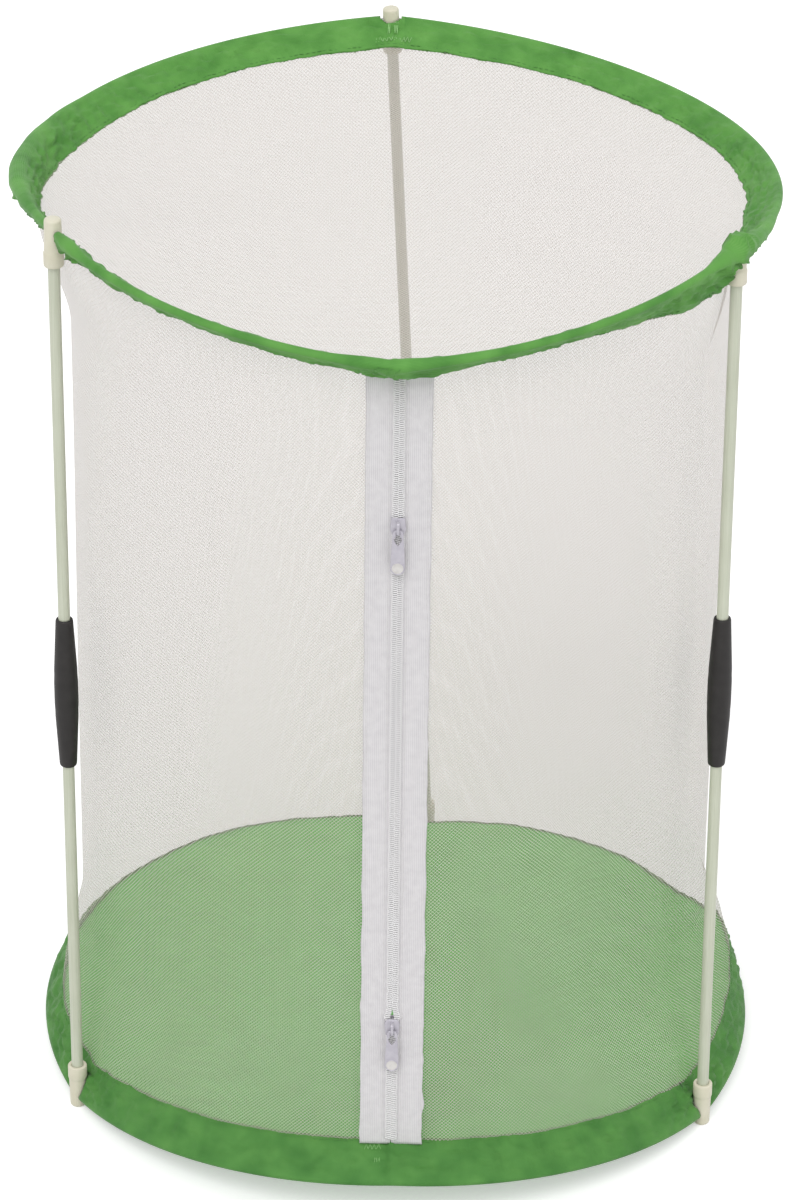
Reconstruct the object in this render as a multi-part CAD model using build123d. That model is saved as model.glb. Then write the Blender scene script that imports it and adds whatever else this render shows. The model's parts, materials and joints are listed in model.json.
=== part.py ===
from build123d import *
from math import ceil, cos, degrees, hypot, radians, sin
import os

# Collapsible insect cage: two fabric-covered spring hoops held apart by three jointed rods.
# Millimetres, +Z up, zipper towards -Y, feet on z = 0. Azimuths turn from the front towards +X.

# Hoops
hoop_radius = 172.0
wire_radius = 1.0
wire_sides = 8
foot_to_wire = 6.0
top_wire_height = 465.6
bottom_shift = 1.0
top_shift = -1.0
bottom_azimuths = {"left": -63.0, "right": 60.0, "back": 175.0}
top_azimuths = {"left": -63.2, "right": 60.0, "back": 182.2}
bottom_front_rise = 17.0
bottom_side_rise = 8.4
bottom_half_bow = 2.2
top_front_dip = 18.2
top_right_dip = 11.7
top_left_dip = 7.1
top_half_bow = 0.7

# Crimped sleeves on the wire ends
sleeve_radius = 1.7
sleeve_length = 12.0
sleeve_fit = 0.15

# Fabric casings round the hoops
casing_fold_radius = 2.5
casing_cloth = 0.5
seam_half_thickness = 0.6
fold_corners = 5
casing_slit = 0.6
section_step = 7.5
seam_inset = 14.0
bottom_side_inset = 7.0
top_seam_drop = 9.0
bottom_seam_rise = 14.5

# Net and floor
net_thickness = 0.4
floor_thickness = 0.6
cloth_clearance = 0.3
wall_seam_clearance = 0.8
zipper_gap_half_width = 10.0
net_flare_start = 28.0
net_flare_end = 85.0
net_waist_inset = 3.0

# Rods, couplers and end sockets
rod_radius = 2.75
rod_fit = 0.1
coupler_centre_heights = {"left": 230.5, "right": 240.5, "back": 238.0}
coupler_length = 78.0
coupler_end_radius = 4.1
coupler_middle_radius = 5.6
coupler_land_length = 14.0
coupler_web = 6.0
coupler_rim_chamfer = 0.5
moulded_sides = 24
socket_length = 23.0
socket_radius = 4.2
collar_radius = 4.6
collar_length = 7.0
socket_end_chamfer = 1.2
collar_chamfer = 0.5
foot_trim = 0.25
socket_web = 1.5
cross_bore_clearance = 0.15
socket_notch_clearance = 0.5

# Zipper chain
tape_width = 14.4
tape_thickness = 0.5
tape_slit = 1.0
coil_spine_width = 0.9
coil_tooth_reach = 0.8
coil_thickness = 1.3
tooth_pitch = 3.6
tooth_flank = 0.7

# Sliders and pulls
upper_slider_height = 364.3
lower_slider_height = 102.3
slider_length = 8.4
slider_nose_width = 7.0
slider_tail_width = 6.0
slider_shoulder = 0.35
slider_nose_taper = 0.72
slider_corner = 0.7
slider_plate = 1.1
slider_clearance = 0.3
post_length = 2.2
post_width = 0.4
bridge_length = 6.4
bridge_leg = 0.8
bridge_width = 1.2
bridge_rise = 3.0
bridge_corner = 1.2
pull_length = 21.5
pull_thickness = 1.0
pull_top_width = 4.8
pull_disc_radius = 3.3
pull_disc_recess = 0.3
pull_disc_rim = 0.7
window_width = 2.6
window_point = 1.7
window_rounding = 0.4
crossbar_radius = 0.5

sides = ("left", "right", "back")
wall_radius = hoop_radius - seam_inset


def hoop_point(azimuth, height, shift=0.0, radius=hoop_radius):
    angle = radians(azimuth)
    return Vector(shift + radius * sin(angle), -radius * cos(angle), height)


class Span:
    # One planar arc of a hoop, from azimuth to azimuth, whose middle is bowed up or down.
    def __init__(self, start, end, bow, shift):
        (self.start, start_height), (self.end, end_height) = start, end
        middle = (self.start + self.end) / 2
        middle_height = (start_height + end_height) / 2 + bow
        first = hoop_point(self.start, start_height, shift)
        centre_point = hoop_point(middle, middle_height, shift)
        last = hoop_point(self.end, end_height, shift)
        arc = Edge.make_three_point_arc(first, centre_point, last)
        normal = (first - arc.arc_center).cross(centre_point - arc.arc_center).normalized()
        self.radius = arc.radius
        self.sweep = degrees(arc.length / arc.radius)
        self.plane = Plane(arc.arc_center, x_dir=first - arc.arc_center, z_dir=normal)
        self.shift = shift

    def mitre(self, solid):
        for azimuth, keep in ((self.start, Keep.TOP), (self.end, Keep.BOTTOM)):
            along = Vector(cos(radians(azimuth)), sin(radians(azimuth)), 0)
            cut = Plane(Vector(self.shift, 0, 0), x_dir=Vector(0, 0, 1), z_dir=along)
            solid = split(solid, cut, keep)
        return solid

    # The plane square to the wire at a turn from the span's start, x outwards and y up
    def frame(self, turn):
        outwards = self.plane.x_dir.rotate(Axis((0, 0, 0), self.plane.z_dir), turn)
        origin = self.plane.origin + outwards * self.radius
        return Plane(origin, x_dir=outwards, z_dir=outwards.cross(self.plane.z_dir))


def make_hoop(azimuths, socket_height, front_change, side_bows, half_bow, shift):
    left, right, back = (azimuths[side] for side in sides)
    left_bow, right_bow = side_bows
    front = (0.0, socket_height + front_change)
    return [
        Span((left, socket_height), front, half_bow, shift),
        Span(front, (right, socket_height), half_bow, shift),
        Span((right, socket_height), (back, socket_height), right_bow, shift),
        Span((back, socket_height), (left + 360.0, socket_height), left_bow, shift),
    ]


bottom_hoop = make_hoop(
    bottom_azimuths,
    foot_to_wire,
    bottom_front_rise,
    (bottom_side_rise, bottom_side_rise),
    bottom_half_bow,
    bottom_shift,
)
top_hoop = make_hoop(
    top_azimuths,
    top_wire_height,
    -top_front_dip,
    (-top_left_dip, -top_right_dip),
    top_half_bow,
    top_shift,
)
hoops = {"bottom": bottom_hoop, "top": top_hoop}


# Where the seam lies from the wire, inwards and up. The bottom one comes closer at the sides.
def seam_place(level, frame):
    if level == "top":
        return Vector(-seam_inset, -top_seam_drop)
    share = (frame.origin.X / hoop_radius) ** 2
    return Vector(-seam_inset - (bottom_side_inset - seam_inset) * share, bottom_seam_rise)


# Frames round a hoop, from the front to the front, averaged where two spans meet
def mean_frame(first, second):
    outwards = first.x_dir + second.x_dir
    return Plane(first.origin, x_dir=outwards, z_dir=first.z_dir + second.z_dir)


def hoop_frames(hoop):
    spans = hoop[1:] + hoop[:1]
    end_turn = degrees(casing_slit / 2 / hoop_radius)
    frames = [spans[0].frame(end_turn)]
    for span, following in zip(spans, spans[1:] + [None]):
        steps = ceil(span.sweep / section_step)
        frames += [span.frame(span.sweep * i / steps) for i in range(1, steps)]
        if following:
            frames.append(mean_frame(span.frame(span.sweep), following.frame(0)))
    return frames + [spans[-1].frame(spans[-1].sweep - end_turn)]


# A bar that follows a run of frames, its round section drawn with a few flats
def along(frames, radius):
    return loft([frame * RegularPolygon(radius, wire_sides) for frame in frames], ruled=True)


# Hoop wires, and the crimped sleeves that join their ends at the front
def hoop_wire(hoop):
    return along(hoop_frames(hoop), wire_radius)


def wire_sleeve(hoop):
    frames = hoop_frames(hoop)
    front = mean_frame(hoop[0].frame(hoop[0].sweep), hoop[1].frame(0))
    run = [frames[-2], front, frames[1]]
    tube = along(run, sleeve_radius) - along(run, wire_radius + sleeve_fit)
    return tube & Pos(front.origin) * Box(sleeve_length, seam_inset, seam_inset)


# Casings: a strip of cloth folded round the wire, its two plies meeting at the seam
def casing_section(seam):
    across = Vector(-seam.Y, seam.X).normalized() * (-1 if seam.Y < 0 else 1)
    turn = -180 if seam.Y < 0 else 180
    inner = casing_fold_radius - casing_cloth
    fold = [across.rotate(Axis.Z, turn * i / (fold_corners - 1)) for i in range(fold_corners)]
    outer_points = [seam + across * seam_half_thickness]
    outer_points += [ray * casing_fold_radius for ray in fold]
    outer_points += [seam - across * seam_half_thickness]
    inner_points = [seam - across * (seam_half_thickness - casing_cloth)]
    inner_points += [ray * inner for ray in reversed(fold)]
    inner_points += [seam + across * (seam_half_thickness - casing_cloth)]
    return make_face(Polyline(*outer_points, *inner_points, close=True))


def casing(level, axes):
    frames = hoop_frames(hoops[level])
    sections = [frame * casing_section(seam_place(level, frame)) for frame in frames]
    body = loft(sections, ruled=True)
    notch = RegularPolygon(collar_radius + socket_notch_clearance, wire_sides, major_radius=False)
    for axis_plane in axes:
        body -= axis_plane * extrude(notch, socket_length, both=True)
    return body


# Rod lines: each runs from its bottom socket to its top socket
def rod_line(side):
    low = hoop_point(bottom_azimuths[side], foot_to_wire, bottom_shift)
    high = hoop_point(top_azimuths[side], top_wire_height, top_shift)
    direction = (high - low).normalized()
    return Plane(low, z_dir=direction), Plane(high, z_dir=direction)


rod_lines = {side: rod_line(side) for side in sides}


# A flat face through its corners
def flat_face(*corners):
    return make_face(Polyline(*corners, close=True)).face()


# Moulded round pieces: a barrel through radii at heights, its round drawn with fine flats
def barrel(*sections):
    turns = [radians(360 / moulded_sides * i) for i in range(moulded_sides)]
    rings = [[Vector(radius * cos(t), radius * sin(t), z) for t in turns] for radius, z in sections]
    faces = [flat_face(*rings[0]), flat_face(*rings[-1])]
    for low, high in zip(rings, rings[1:]):
        faces += [flat_face(low[i - 1], low[i], high[i], high[i - 1]) for i in range(moulded_sides)]
    return Solid(Shell(faces))


# End socket: blind rod bore from the collar, cross bore for the hoop wire.
# Its origin is where the rod's line crosses the wire, and its mouth faces +Z.
# A bottom one is a little longer, and cut flat where it stands.
def socket_blank(foot):
    mouth = socket_length - foot_to_wire
    shoulder = mouth - collar_length
    body = barrel(
        (socket_radius - socket_end_chamfer, foot),
        (socket_radius, foot + socket_end_chamfer),
        (socket_radius, shoulder),
        (collar_radius, shoulder + collar_chamfer),
        (collar_radius, mouth - collar_chamfer),
        (collar_radius - collar_chamfer, mouth),
    )
    bore = Cylinder(
        rod_radius + rod_fit, socket_length, align=(Align.CENTER, Align.CENTER, Align.MIN)
    )
    return body - Pos(0, 0, socket_web + wire_radius) * bore


rod_seat = socket_web + wire_radius + cloth_clearance


# A short stretch of hoop, as wide as the cross bore, that reaches through a socket
def cross_bore(side, level):
    frames = hoop_frames(hoops[level])
    place = rod_lines[side][0 if level == "bottom" else 1].origin
    nearest = min(range(len(frames)), key=lambda i: (frames[i].origin - place).length)
    return along(frames[nearest - 1:nearest + 2], wire_radius + cross_bore_clearance)


def socket(side, level):
    low, high = rod_lines[side]
    if level == "top":
        return high * Rot(180, 0, 0) * socket_blank(-foot_to_wire) - cross_bore(side, level)
    body = low * socket_blank(-foot_to_wire - foot_trim) - cross_bore(side, level)
    return split(body, Plane.XY, Keep.TOP)


# Rod halves: straight fibreglass rods, each from a socket bore into the coupler
def coupler_centre(side):
    low, high = rod_lines[side]
    share = (coupler_centre_heights[side] - low.origin.Z) / (high.origin.Z - low.origin.Z)
    return low.origin + (high.origin - low.origin) * share


def rod_half(side, level):
    low, high = rod_lines[side]
    centre = coupler_centre(side)
    far = low.origin if level == "bottom" else high.origin
    length = (centre - far).length - rod_seat - coupler_web / 2 - cloth_clearance
    outward = Plane(far, z_dir=centre - far)
    rod = Cylinder(rod_radius, length, align=(Align.CENTER, Align.CENTER, Align.MIN))
    return outward * Pos(0, 0, rod_seat) * rod


# Coupler: a cigar-shaped ferrule, bored from both ends up to a middle web
def coupler(side):
    half = coupler_length / 2
    land = coupler_land_length / 2
    body = barrel(
        (coupler_end_radius - coupler_rim_chamfer, -half),
        (coupler_end_radius, coupler_rim_chamfer - half),
        (coupler_middle_radius, -land),
        (coupler_middle_radius, land),
        (coupler_end_radius, half - coupler_rim_chamfer),
        (coupler_end_radius - coupler_rim_chamfer, half),
    )
    bore = Cylinder(rod_radius + rod_fit, half, align=(Align.CENTER, Align.CENTER, Align.MIN))
    body -= Pos(0, 0, coupler_web / 2) * bore
    body -= Pos(0, 0, -coupler_web / 2) * Rot(180, 0, 0) * bore
    return Plane(coupler_centre(side), z_dir=rod_lines[side][0].z_dir) * body


# Net wall: a tube between the two seams, open behind the zipper
seam_edge = seam_half_thickness + wall_seam_clearance


def above_bottom_seam(solid, span):
    return split(solid, span.plane.offset(bottom_seam_rise + seam_edge), Keep.TOP)


def below_top_seam(solid, span):
    return split(solid, span.plane.offset(-top_seam_drop - seam_edge), Keep.BOTTOM)


# One ring of the net, oval across X, its middle shifted along the cage's lean
def net_ring(height, half_width, growth):
    shift = bottom_shift + (top_shift - bottom_shift) * height / top_wire_height
    turns = [radians(section_step * i) for i in range(round(360 / section_step))]
    return Polyline(
        *[
            Vector(
                shift + (half_width + growth) * sin(turn), -(wall_radius + growth) * cos(turn), height
            )
            for turn in turns
        ],
        close=True,
    )


def net_tube(growth):
    foot = hoop_radius - bottom_side_inset
    waist = wall_radius - net_waist_inset
    waist_end = top_wire_height - net_flare_end
    rings = [(0.0, foot), (net_flare_start, foot), (net_flare_end, waist), (waist_end, waist)]
    rings.append((top_wire_height, wall_radius))
    sections = [make_face(net_ring(height, half, growth)) for height, half in rings]
    return loft(sections, ruled=True)


def wall_mesh():
    tube = net_tube(net_thickness / 2) - net_tube(-net_thickness / 2)
    slot = Box(2 * zipper_gap_half_width, 2 * seam_inset, 2 * top_wire_height)
    tube -= Pos(0, -wall_radius, 0) * slot
    middle = Plane.XY.offset(top_wire_height / 2)
    low_half = split(tube, middle, Keep.BOTTOM)
    high_half = split(tube, middle, Keep.TOP)
    panels = [above_bottom_seam(span.mitre(low_half), span) for span in bottom_hoop]
    panels += [below_top_seam(span.mitre(high_half), span) for span in top_hoop]
    return Part() + panels


# Roof and floor: one taut sheet each, fanned from its middle to the seam
def seam_sheet(level, thickness):
    margin = Vector(-seam_half_thickness - 2 * cloth_clearance, 0)
    frames = hoop_frames(hoops[level])
    rim = [frame.from_local_coords(seam_place(level, frame) + margin) for frame in frames]
    rise = Vector(0, 0, thickness)
    middle = Vector(hoops[level][0].shift, 0, sum(point.Z for point in rim) / len(rim))
    faces = []
    for first, second in zip(rim, rim[1:] + rim[:1]):
        faces.append(flat_face(middle, first, second))
        faces.append(flat_face(middle + rise, first + rise, second + rise))
        faces.append(flat_face(first, second, second + rise, first + rise))
    return Solid(Shell(faces))


# Zipper
tape_back = -wall_radius - net_thickness / 2 - cloth_clearance
tape_front = tape_back - tape_thickness
coil_front = tape_front - coil_thickness


def zipper_tape(hand):
    strip = Box(
        tape_width - tape_slit / 2,
        tape_thickness,
        top_wire_height,
        align=(Align.MIN, Align.MAX, Align.MIN),
    )
    strip = Pos(tape_slit / 2, tape_back, 0) * strip
    index = 1 if hand > 0 else 0
    strip = strip if hand > 0 else mirror(strip, Plane.YZ)
    return below_top_seam(above_bottom_seam(strip, bottom_hoop[index]), top_hoop[index])


# Coil half: a spine along the tape with one tooth per turn of the coil
def zipper_coil(hand):
    low = foot_to_wire + bottom_front_rise + bottom_seam_rise + seam_edge
    high = top_wire_height - top_front_dip - top_seam_drop - seam_edge
    count = int((high - low) / tooth_pitch)
    start = (low + high - count * tooth_pitch) / 2
    head = tape_slit / 2
    root = head + coil_tooth_reach
    spine = root + coil_spine_width
    points = [(spine, start)]
    for i in range(count):
        z = start + i * tooth_pitch
        tip = z + tooth_pitch / 2
        points += [(root, z), (head, z + tooth_flank), (head, tip)]
    top = start + count * tooth_pitch - tooth_flank
    points += [(root, top), (spine, top)]
    comb = make_face(Polyline(*points, close=True))
    coil = extrude(Plane.XZ * comb, coil_thickness)
    coil = Pos(0, tape_front, 0) * coil
    return coil if hand > 0 else mirror(coil, Plane.YZ)


# The pull's crossbar lies in the lower end of the slider's eye, and its window clears the bridge
eye_length = bridge_length - 2 * bridge_leg
pivot_drop = eye_length / 2 - crossbar_radius - slider_clearance
pivot_rise = (bridge_rise - bridge_leg) / 2
bridge_swing = hypot(bridge_length / 2 + pivot_drop, bridge_rise - pivot_rise)
window_straight = bridge_swing + slider_clearance


# Slider: two shield-shaped plates joined by a post at the nose, flanged at the sides.
# Its own frame has the chain along z, nose up, and +y towards the viewer.
def slider_outline():
    half = slider_length / 2
    nose = slider_nose_width / 2
    tail = slider_tail_width / 2
    right_side = [(tail, -half), (nose, half * slider_shoulder), (nose * slider_nose_taper, half)]
    left_side = [(-x, z) for x, z in reversed(right_side)]
    face = make_face(Polyline(*right_side, *left_side, close=True))
    return fillet(face.vertices(), slider_corner)


def plate(outline, front, thickness):
    return Pos(0, front, 0) * extrude(Plane.XZ * outline, thickness)


def slider_body():
    outline = slider_outline()
    behind = tape_back + slider_clearance + slider_plate
    front = coil_front - slider_clearance
    body = plate(outline, behind, slider_plate)
    body += plate(outline, front, slider_plate)
    channel = tape_slit / 2 + coil_tooth_reach + coil_spine_width + slider_clearance
    rim = outline - Rectangle(2 * channel, 2 * slider_length)
    flange = front - (tape_front - slider_clearance)
    body += plate(rim, tape_front - slider_clearance, -flange)
    post = Pos(0, slider_length / 2 - post_length) * Rectangle(
        post_width, post_length, align=(Align.CENTER, Align.MIN)
    )
    body += plate(post, behind, behind - front)
    outer = front - slider_plate
    arch = Rectangle(bridge_rise, bridge_length, align=(Align.MAX, Align.CENTER))
    arch = fillet(arch.vertices().sort_by(Axis.X)[:2], bridge_corner)
    hole = Rectangle(bridge_rise - bridge_leg, eye_length, align=(Align.MAX, Align.CENTER))
    hole = fillet(hole.vertices().sort_by(Axis.X)[:2], bridge_corner - bridge_leg)
    bridge = extrude(Plane.YZ * Pos(outer, 0) * (arch - hole), bridge_width / 2, both=True)
    return body + bridge


# Pull: a flat tab with a pointed window at the crossbar and a dished disc at its end
def slider_pull():
    half_top = pull_top_width / 2
    disc_centre = -(pull_length - pull_disc_radius)
    tab = make_face(
        Polyline(
            (-half_top, 0),
            (half_top, 0),
            (pull_disc_radius, disc_centre),
            (-pull_disc_radius, disc_centre),
            close=True,
        )
    )
    tab += Pos(0, disc_centre) * Circle(pull_disc_radius)
    half_window = window_width / 2
    point = -window_straight - window_point
    window = make_face(
        Polyline(
            (-half_window, -crossbar_radius),
            (half_window, -crossbar_radius),
            (half_window, -window_straight),
            (0, point),
            (-half_window, -window_straight),
            close=True,
        )
    )
    window = fillet(window.vertices().sort_by(Axis.Y)[0], window_rounding)
    body = extrude(Plane.XZ * (tab - window), pull_thickness / 2, both=True)
    dish = Cylinder(pull_disc_radius - pull_disc_rim, 2 * pull_disc_recess)
    body -= Pos(0, -pull_thickness / 2, disc_centre) * Rot(90, 0, 0) * dish
    bar = Rot(0, 90, 0) * Cylinder(crossbar_radius, pull_top_width)
    return body + bar


slider_outer = coil_front - slider_clearance - slider_plate


# The upper slider's nose is down and the lower one's up, so the opening lies between them
def place_slider(height, nose_up):
    turn = Rot(0, 0, 0) if nose_up else Rot(0, 180, 0)
    return Pos(0, 0, height) * turn * slider_body()


def place_pull(height):
    return Pos(0, slider_outer - pivot_rise, height - pivot_drop) * slider_pull()


parts = {
    "bottom_hoop_wire": hoop_wire(bottom_hoop),
    "top_hoop_wire": hoop_wire(top_hoop),
    "bottom_wire_sleeve": wire_sleeve(bottom_hoop),
    "top_wire_sleeve": wire_sleeve(top_hoop),
    "wall_mesh": wall_mesh(),
    "top_mesh": seam_sheet("top", net_thickness),
    "floor_panel": seam_sheet("bottom", floor_thickness),
    "zipper_tape_left": zipper_tape(-1),
    "zipper_tape_right": zipper_tape(1),
    "zipper_coil_left": zipper_coil(-1),
    "zipper_coil_right": zipper_coil(1),
    "upper_slider_body": place_slider(upper_slider_height, False),
    "upper_slider_pull": place_pull(upper_slider_height),
    "lower_slider_body": place_slider(lower_slider_height, True),
    "lower_slider_pull": place_pull(lower_slider_height),
}
for level, index in (("bottom", 0), ("top", 1)):
    axes = [rod_lines[side][index] for side in sides]
    parts[f"{level}_binding"] = casing(level, axes)
    for side in sides:
        half = "lower" if level == "bottom" else "upper"
        parts[f"{side}_{level}_socket"] = socket(side, level)
        parts[f"{side}_rod_{half}"] = rod_half(side, level)
for side in sides:
    parts[f"{side}_rod_coupler"] = coupler(side)

os.makedirs("parts", exist_ok=True)
for name, shape in parts.items():
    export_step(shape, f"parts/{name}.step")
    print(name, round(shape.volume, 1))
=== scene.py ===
import json
from functools import lru_cache
from math import asin, atan2, cos, degrees, exp, hypot, inf, pi, radians, sin, tau
import bmesh
import bpy
from mathutils import Matrix, Vector, noise


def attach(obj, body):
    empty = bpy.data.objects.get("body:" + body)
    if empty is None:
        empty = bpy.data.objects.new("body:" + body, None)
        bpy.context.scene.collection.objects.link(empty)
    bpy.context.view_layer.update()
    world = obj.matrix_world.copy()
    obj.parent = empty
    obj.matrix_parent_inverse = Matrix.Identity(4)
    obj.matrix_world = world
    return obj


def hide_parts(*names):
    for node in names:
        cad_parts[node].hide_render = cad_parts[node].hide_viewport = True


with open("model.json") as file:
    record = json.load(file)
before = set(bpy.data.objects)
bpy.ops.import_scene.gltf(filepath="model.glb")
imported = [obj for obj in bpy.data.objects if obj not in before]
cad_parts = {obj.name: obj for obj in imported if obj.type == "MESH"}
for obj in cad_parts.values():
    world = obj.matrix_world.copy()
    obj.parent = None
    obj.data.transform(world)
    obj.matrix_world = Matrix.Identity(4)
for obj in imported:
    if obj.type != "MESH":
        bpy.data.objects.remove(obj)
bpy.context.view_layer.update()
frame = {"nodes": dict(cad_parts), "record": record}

# Insect cage: cloth, net, zipper and finishes over the CAD frame.
# Lengths in the dictionaries are millimetres, and azimuths turn from the front towards +X.
mm = 0.001

# Camera, light and floor
view = {"target": (1.8, 0.0, 240.4), "distance": 2428.5, "azimuth": 0.155, "elevation": 28.838,
        "roll": 0.723, "lens": 152.88, "shift": (-0.00653, -0.00243), "clip": (50, 30000)}
light = {"sky": 0.66, "key": 1.25, "keyAngle": 35.0, "keyTurn": (38.0, 8.0, -25.0),
         "fill": 0.25, "fillAngle": 60.0, "fillTurn": (55.0, 0.0, 60.0),
         "floor": (0.86, 0.86, 0.86, 1.0), "floorReach": 4000, "floorGlow": 0.41, "backdrop": 1.28}


def makeCamera():
    data = bpy.data.cameras.new("camera")
    camera = bpy.data.objects.new("camera", data)
    bpy.context.scene.collection.objects.link(camera)
    turn, rise = radians(view["azimuth"]), radians(view["elevation"])
    back = Vector((sin(turn) * cos(rise), -cos(turn) * cos(rise), sin(rise)))
    right = Vector((cos(turn), sin(turn), 0))
    facing = Matrix((right, back.cross(right), back)).transposed().to_4x4()
    place = (Vector(view["target"]) + back * view["distance"]) * mm
    camera.matrix_world = Matrix.Translation(place) @ facing @ Matrix.Rotation(radians(view["roll"]), 4, "Z")
    data.lens = view["lens"]
    data.shift_x, data.shift_y = view["shift"]
    data.clip_start, data.clip_end = (reach * mm for reach in view["clip"])
    bpy.context.scene.camera = camera
    bpy.context.scene.view_settings.view_transform = "Standard"


def makeSun(name, strength, angle, turn):
    data = bpy.data.lights.new(name, "SUN")
    data.energy, data.angle = strength, radians(angle)
    sun = bpy.data.objects.new(name, data)
    sun.rotation_euler = [radians(part) for part in turn]
    bpy.context.scene.collection.objects.link(sun)


# A node tree. Each input of a new node is a value to set, an output to link, or nothing.
class Nodes:
    def __init__(self, owner):
        owner.use_nodes = True
        self.nodes, self.links = owner.node_tree.nodes, owner.node_tree.links

    def add(self, kind, *inputs, **settings):
        node = self.nodes.new("ShaderNode" + kind)
        for key, value in settings.items():
            setattr(node, key, value)
        for socket, value in zip(node.inputs, inputs):
            if isinstance(value, bpy.types.NodeSocket):
                self.links.new(value, socket)
            elif value is not None:
                socket.default_value = value
        return node

    def combine(self, operation, first, second):
        return self.add("Math", first, second, operation=operation).outputs[0]

    # The share of rays that see the plain white background
    def backgroundRays(self):
        path = self.add("LightPath").outputs
        seen = self.combine("MAXIMUM", path["Is Camera Ray"], path["Is Glossy Ray"])
        return self.combine("MAXIMUM", seen, path["Is Transmission Ray"])


def makeWorld():
    world = bpy.data.worlds.new("studio")
    bpy.context.scene.world = world
    tree = Nodes(world)
    tree.nodes.clear()
    sky, backdrop = (tree.add("Background", (1, 1, 1, 1), light[key]).outputs[0] for key in ("sky", "backdrop"))
    tree.add("OutputWorld", tree.add("MixShader", tree.backgroundRays(), sky, backdrop).outputs[0])


def makeFloor():
    bm = bmesh.new()
    bmesh.ops.create_grid(bm, x_segments=1, y_segments=1, size=light["floorReach"] * mm)
    mesh = bpy.data.meshes.new("floor")
    bm.to_mesh(mesh)
    bm.free()
    floor = bpy.data.objects.new("floor", mesh)
    bpy.context.scene.collection.objects.link(floor)
    paint = bpy.data.materials.new("floor")
    tree = Nodes(paint)
    tree.nodes.clear()
    glow = tree.combine("MULTIPLY", tree.backgroundRays(), light["floorGlow"])
    parts = (tree.add("BsdfDiffuse", light["floor"]), tree.add("Emission", None, glow))
    tree.add("OutputMaterial", tree.add("AddShader", *(part.outputs[0] for part in parts)).outputs[0])
    mesh.materials.append(paint)


makeCamera()
makeWorld()
makeSun("keySun", light["key"], light["keyAngle"], light["keyTurn"])
makeSun("fillSun", light["fill"], light["fillAngle"], light["fillTurn"])
makeFloor()
print("camera and studio ready")


# Materials. A pattern's coordinates are metres, from the cloth's own UV map or the object.
class Finish(Nodes):
    def __init__(self, name, color, roughness, specular=0.5, **sockets):
        self.material = bpy.data.materials.new(name)
        super().__init__(self.material)
        self.shader = self.nodes["Principled BSDF"].inputs
        self.shader["Base Color"].default_value = (*color, 1)
        self.shader["Roughness"].default_value = roughness
        self.shader["Specular IOR Level"].default_value = specular
        for socket, value in sockets.items():
            self.shader[socket.replace("_", " ")].default_value = value

    # Coordinates turned about Z by an angle and stretched
    def turned(self, place, turn, scale=(1, 1, 1)):
        return self.add("Mapping", place, None, (0, 0, radians(turn)), scale).outputs[0]

    def onCloth(self):
        return self.add("UVMap", uv_map="cloth").outputs[0]

    def onObject(self):
        return self.add("TexCoord").outputs["Object"]

    def bands(self, place, pitch, direction="X"):
        wave = self.add("TexWave", place, pi / 10 / (pitch * mm), wave_type="BANDS", bands_direction=direction)
        return wave.outputs["Fac"]

    def grain(self, place, size, detail, distortion=0.0, output="Fac"):
        cloud = self.add("TexNoise", place)
        for socket, value in (("Scale", 1 / (size * mm)), ("Detail", detail), ("Distortion", distortion)):
            cloud.inputs[socket].default_value = value
        return cloud.outputs[output]

    # Two patterns, each times its share
    def mix(self, first, firstShare, second, secondShare):
        return self.combine("ADD", self.combine("MULTIPLY", first, firstShare),
                            self.combine("MULTIPLY", second, secondShare))

    def color(self, value, *stops):
        node = self.add("ValToRGB", value)
        while len(node.color_ramp.elements) < len(stops):
            node.color_ramp.elements.new(0.5)
        for element, (position, color) in zip(node.color_ramp.elements, stops):
            element.position, element.color = position, (*color, 1)
        self.links.new(node.outputs["Color"], self.shader["Base Color"])

    def bump(self, height, depth, strength):
        node = self.add("Bump", strength, depth * mm)
        self.links.new(height, node.inputs["Height"])
        self.links.new(node.outputs[0], self.shader["Normal"])


# Each green cloth's shades, spread by broad noise and the threads: painted shade for its folds, its body colour,
# and painted highlight where it would catch the light
greens = {
    "top": ((0.062, 0.225, 0.036), (0.113, 0.333, 0.063), (0.176, 0.427, 0.097)),
    # Painted light: brighter than the top green, to make up for the shade the net casts on the floor
    "floor": ((0.095, 0.465, 0.055), (0.115, 0.525, 0.072), (0.142, 0.575, 0.095)),
    # Painted shade: a darker copy of the top green, for the downward-facing bottom casing
    "low": ((0.044, 0.172, 0.030), (0.080, 0.250, 0.050), (0.135, 0.335, 0.078)),
}
greenWeave = {"roughness": 0.62, "pitch": 0.42, "threadShade": 0.22, "threadHeight": 0.12, "broadSize": 16,
              "broadShade": 0.7, "shadesAt": (0.22, 0.44, 0.8), "creaseSize": 4.5, "creaseStretch": 0.22,
              "creaseBend": 0.2, "relief": 1.0, "reliefStrength": 0.6}


# Plain-woven polyester: fine crossed threads, a little sheen and broad faint shading
def makeGreenCloth(name, shades, creaseHeight):
    weave = greenWeave
    cloth = Finish(name, shades[1], weave["roughness"], 0.25, Sheen_Weight=0.12, Sheen_Roughness=0.4)
    flat = cloth.onCloth()
    broad = cloth.grain(flat, weave["broadSize"], 2)
    threads = cloth.combine("MULTIPLY", *(cloth.bands(flat, weave["pitch"], way) for way in "XY"))
    cloth.color(cloth.mix(broad, weave["broadShade"], threads, weave["threadShade"]),
                *zip(weave["shadesAt"], shades))
    along = cloth.turned(flat, 0, (1, weave["creaseStretch"], 1))
    creases = cloth.grain(along, weave["creaseSize"], 2, weave["creaseBend"])
    cloth.bump(cloth.mix(threads, weave["threadHeight"], creases, creaseHeight),
               weave["relief"], weave["reliefStrength"])
    return cloth.material
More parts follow.
